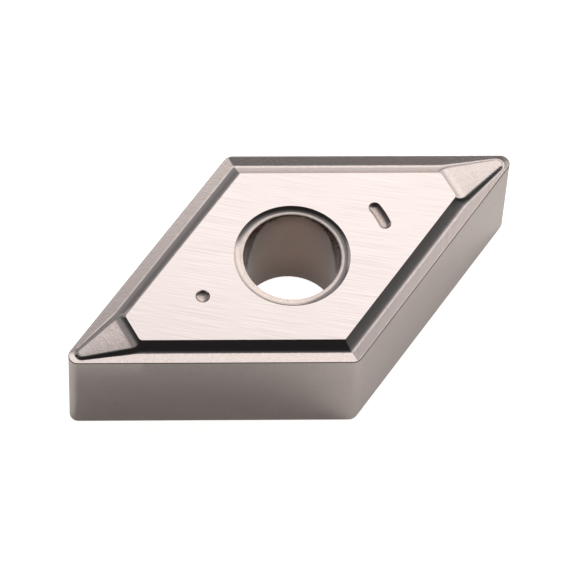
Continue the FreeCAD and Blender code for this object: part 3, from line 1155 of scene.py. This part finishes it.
@dataclass
class Studio:
    """The pale floor, the soft lamps and the room with its window wall."""

    floor_size: float = 6.0
    # how far the floor lies under the insert, so that they don't share a plane
    floor_gap: float = 2e-5
    floor_colour: str = "#f2f0ee"
    seen_glow: float = 0.92
    mirrored_glow: float = 0.095
    window_colour: str = "#fffcfa"
    # the window wall's soft ends, to its left and overhead, and its level, lower near the horizon
    window_left: Fade = Fade((-0.125, -0.015))
    window_top: Fade = Fade((0.38, 0.53))
    # how far its upper end comes down to the right
    window_lean: float = 0.2
    window_level: Fade = Fade((0.33, 0.62), (0.80, 1.22))
    room_colour: str = "#f0f4f8"
    # the room is dark in front of the insert, where the camera stands, and dim behind it
    room_level: Fade = Fade((-0.1, 0.2), (0.02, 0.13), Ease.LINEAR)
    # a paler stretch of ceiling on each side of a middle: where it starts and ends outwards, and
    # its level
    ceiling_middle: float = 0.03
    ceiling_start: Fade = Fade((0.07, 0.19))
    ceiling_end: Fade = Fade((0.38, 0.60), (1.0, 0.0))
    ceiling_level: Fade = Fade((0.02, 0.34), (0.0, 0.20))
    lamps: tuple[SoftBox, ...] = (
        SoftBox("right_strip", 130, 18, 50, 24, 0.5),
        SoftBox("left_strip", -130, 18, 50, 24, 0.5),
        SoftBox("front_strip", 180, 20, 50, 20, 0.12),
        SoftBox("rear_strip", -56, 23, 25, 30, 0.35),
        SoftBox("floor_lamp", 39, 42, 60, 34, 2.4, mirrored=False),
    )
    # a narrow spot straight down the bore: its height, its own size and the radius that it lights
    # in metres, and its power in watts
    snoot_height: float = 0.25
    snoot_size: float = 0.002
    snoot_reach: float = 0.0029
    snoot_power: float = 1.7

    def lay_floor(self) -> None:
        """Lays the floor under the insert.

        Its own light makes it white to the camera, and the insert's shadow stays on it, because
        the lamps light it as well.
        """
        bpy.ops.mesh.primitive_plane_add(size=self.floor_size, location=(0.0, 0.0, -self.floor_gap))
        floor = bpy.context.object
        floor.name = "floor"
        material, tree = new_material("white card, matt")
        path = add_node(tree, "LightPath")
        mirrored = add_node(tree, "Math", {"operation": "MAXIMUM"},
                            {0: path.outputs["Is Glossy Ray"],
                             1: path.outputs["Is Transmission Ray"]})
        glow = add_node(tree, "Math", {"operation": "MULTIPLY", "[1]": self.mirrored_glow},
                        {0: mirrored.outputs[0]})
        total = add_node(tree, "Math", {"operation": "MULTIPLY_ADD", "[1]": self.seen_glow},
                         {0: path.outputs["Is Camera Ray"], 2: glow.outputs[0]})
        shine = add_node(tree, "Emission", links={"Strength": total.outputs[0]})
        card = add_node(tree, "BsdfDiffuse", {"[Color]": linear(self.floor_colour)})
        both = add_node(tree, "AddShader", links={0: shine.outputs[0], 1: card.outputs[0]})
        add_node(tree, "OutputMaterial", links={"Surface": both.outputs[0]})
        floor.data.materials.append(material)
        log.info("floor: %.1f m wide", self.floor_size)

    def light_room(self) -> None:
        """Lights the room: a window wall to the right behind the insert, dim grey elsewhere.

        The wall ends softly to its left and overhead, and a paler stretch of ceiling lies on each
        side of the middle. Both shade the mirroring coating.
        """
        world = bpy.data.worlds.new("room")
        bpy.context.scene.world = world
        world.use_nodes = True
        tree = world.node_tree
        tree.nodes.clear()
        place = add_node(tree, "TexCoord")
        parts = add_node(tree, "SeparateXYZ", links={0: place.outputs["Generated"]})
        x, y, z = parts.outputs
        shift = add_node(tree, "Math", {"operation": "SUBTRACT", "[1]": self.ceiling_middle},
                         {0: x})
        aside = add_node(tree, "Math", {"operation": "ABSOLUTE"}, {0: shift.outputs[0]}).outputs[0]
        leaning = add_node(tree, "Math", {"operation": "MULTIPLY_ADD", "[1]": self.window_lean},
                           {0: x, 2: y})
        window = product(tree, self.window_left.add(tree, x),
                         self.window_top.add(tree, leaning.outputs[0]))
        ceiling = product(tree, self.ceiling_start.add(tree, aside),
                          self.ceiling_end.add(tree, aside), self.ceiling_level.add(tree, y))
        dim = add_node(tree, "Math", {"operation": "ADD"},
                       {0: self.room_level.add(tree, leaning.outputs[0]), 1: ceiling})
        room = add_node(tree, "Background", {"[Color]": linear(self.room_colour)},
                        {"Strength": dim.outputs[0]})
        light = add_node(tree, "Background", {"[Color]": linear(self.window_colour)},
                         {"Strength": self.window_level.add(tree, z)})
        both = add_node(tree, "MixShader", links={0: window, 1: room.outputs[0],
                                                  2: light.outputs[0]})
        add_node(tree, "OutputWorld", links={"Surface": both.outputs[0]})

    def hang_snoot(self) -> None:
        """Hangs the spot that lights the floor inside the bore, for the bore's wall to mirror."""
        bpy.ops.object.light_add(type="SPOT", location=(0.0, 0.0, self.snoot_height))
        lamp = bpy.context.object
        lamp.name = lamp.data.name = "snoot"
        lamp.data.energy = self.snoot_power
        lamp.data.spot_size = 2 * math.atan(self.snoot_reach / self.snoot_height)
        lamp.data.spot_blend = 0.0
        lamp.data.shadow_soft_size = self.snoot_size
        lamp.visible_glossy = False
        log.info("snoot: %.1f degrees wide", math.degrees(lamp.data.spot_size))

    def build(self) -> None:
        """Builds the whole studio."""
        self.lay_floor()
        for lamp in self.lamps:
            lamp.hang()
        self.hang_snoot()
        self.light_room()


@dataclass(frozen=True)
class Viewpoint:
    """The photograph's camera, fitted to the insert's edges: angles in degrees, sizes in mm.

    The focal length was fitted in pixels of the photograph, and the width is the photograph's.
    """

    elevation: float = 59.2025
    heading: float = 4.1563
    roll: float = 3.3325
    slide: float = -0.2168
    climb: float = -1.5799
    distance: float = 242.0583
    aim_height: float = 6.35
    focal_pixels: float = 4608.09
    width_pixels: int = 576
    sensor: float = 36.0
    # metres in front of the camera, nearer than the insert
    clip_start: float = 0.01

    @property
    def lens(self) -> float:
        """Focal length in millimetres."""
        return self.focal_pixels / self.width_pixels * self.sensor

    def place(self) -> None:
        """Adds the camera and makes it the scene's own."""
        e, a, r = (math.radians(k) for k in (self.elevation, self.heading, self.roll))
        look = Vector((math.sin(a) * math.cos(e), math.cos(a) * math.cos(e), -math.sin(e)))
        level = Vector((math.cos(a), -math.sin(a), 0.0))
        right = math.cos(r) * level + math.sin(r) * level.cross(look)
        up = right.cross(look)
        spot = (Vector((0.0, 0.0, self.aim_height)) + self.slide * right + self.climb * up
                - self.distance * look)
        bpy.ops.object.camera_add()
        camera = bpy.context.object
        camera.name = "camera"
        turn = Matrix((right, up, -look)).transposed()
        camera.matrix_world = Matrix.Translation(spot * MILLIMETRE) @ turn.to_4x4()
        camera.data.lens = self.lens
        camera.data.sensor_width = self.sensor
        camera.data.clip_start = self.clip_start
        bpy.context.scene.camera = camera
        log.info("camera: %.1f mm lens, %.3f m away", self.lens, self.distance * MILLIMETRE)


def main() -> None:
    """Builds the insert, the studio and the camera, and sets the view transform to Standard."""
    logging.basicConfig(level=logging.INFO, format="%(name)s: %(message)s")
    Insert().build()
    Studio().build()
    Viewpoint().place()
    bpy.context.scene.view_settings.view_transform = "Standard"


if __name__ == "__main__":
    main()
